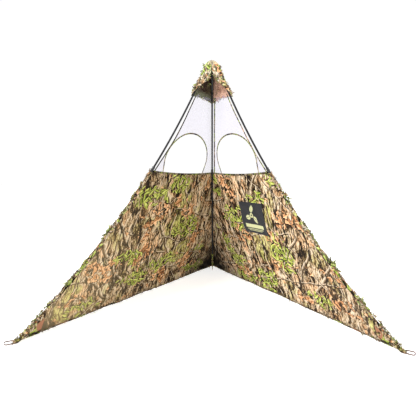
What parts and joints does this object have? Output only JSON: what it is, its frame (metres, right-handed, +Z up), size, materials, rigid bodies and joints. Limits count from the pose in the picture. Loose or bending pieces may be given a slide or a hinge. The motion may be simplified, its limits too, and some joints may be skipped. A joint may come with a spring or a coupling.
{
  "type": "pop up ground blind",
  "caption": "Pop up ground blind on a folding tripod: cloth walls on two sides, clear film with arched windows above, a small hood and an open front.",
  "frame": {"origin": "centre of the footprint, on the ground", "axes": "+Z up, +Y towards the back leg, +X to the right seen from the open front"},
  "size_m": [2.1024, 1.824, 1.6599],
  "materials": {
    "hub_plastic": "moulded nylon, fine grain",
    "steel": "zinc plated",
    "pole": "pultruded glass fibre rod",
    "tip_rubber": "matte rubber",
    "camo_cloth": "printed polyester, leaf and bark camouflage",
    "hood_cloth": "printed polyester with cut leaves",
    "binding": "folded camouflage tape, sewn",
    "leaf_trim": "die cut leaf edging",
    "clear_film": "thin clear film",
    "pocket_cloth": "plain coated cloth",
    "webbing": "narrow woven tape",
    "label": "woven patch"
  },
  "bodies": {
    "back_frame": {"hub_body": "hub_plastic", "hub_cap": "hub_plastic", "cap_screw": "steel", "left_pivot_pin": "steel", "right_pivot_pin": "steel", "back_socket": "hub_plastic", "back_socket_bolt": "steel", "back_upper_pole": "pole", "back_ferrule": "hub_plastic", "back_lower_pole": "pole", "back_pole_tip": "tip_rubber", "back_corner_pocket": "pocket_cloth", "back_stake_loop": "webbing", "left_wall": "camo_cloth", "right_wall": "camo_cloth", "left_bottom_hem": "binding", "right_bottom_hem": "binding", "left_top_tape": "binding", "right_top_tape": "binding", "left_film": "clear_film", "right_film": "clear_film", "left_window_binding": "binding", "right_window_binding": "binding", "left_film_binding": "binding", "right_film_binding": "binding", "back_seam_binding": "binding", "label_patch": "label", "hood_back_left": "hood_cloth", "hood_back_right": "hood_cloth", "hood_front_left": "hood_cloth", "hood_front_right": "hood_cloth"},
    "left_leg": {"left_socket": "hub_plastic", "left_upper_pole": "pole", "left_ferrule": "hub_plastic", "left_lower_pole": "pole", "left_pole_tip": "tip_rubber", "left_sleeve": "camo_cloth", "left_leaf_trim": "leaf_trim", "left_tip_pocket": "pocket_cloth", "left_stake_loop": "webbing"},
    "right_leg": {"right_socket": "hub_plastic", "right_upper_pole": "pole", "right_ferrule": "hub_plastic", "right_lower_pole": "pole", "right_pole_tip": "tip_rubber", "right_sleeve": "camo_cloth", "right_leaf_trim": "leaf_trim", "right_tip_pocket": "pocket_cloth", "right_stake_loop": "webbing"}
  },
  "joints": [
    {"name": "left_leg_fold", "type": "hinge", "parent": "back_frame", "child": "left_leg", "pos_m": [-0.04157, -0.324, 1.6], "axis": [0.8438, -0.4872, -0.225], "range_deg": [0, 52], "deforming": ["left_wall", "left_bottom_hem", "left_top_tape", "left_film", "left_window_binding", "left_film_binding", "hood_back_left", "hood_front_left"]},
    {"name": "right_leg_fold", "type": "hinge", "parent": "back_frame", "child": "right_leg", "pos_m": [0.04157, -0.324, 1.6], "axis": [0.8438, 0.4872, 0.225], "range_deg": [0, 52], "deforming": ["right_wall", "right_bottom_hem", "right_top_tape", "right_film", "right_window_binding", "right_film_binding", "hood_back_right", "hood_front_right", "label_patch"]}
  ]
}
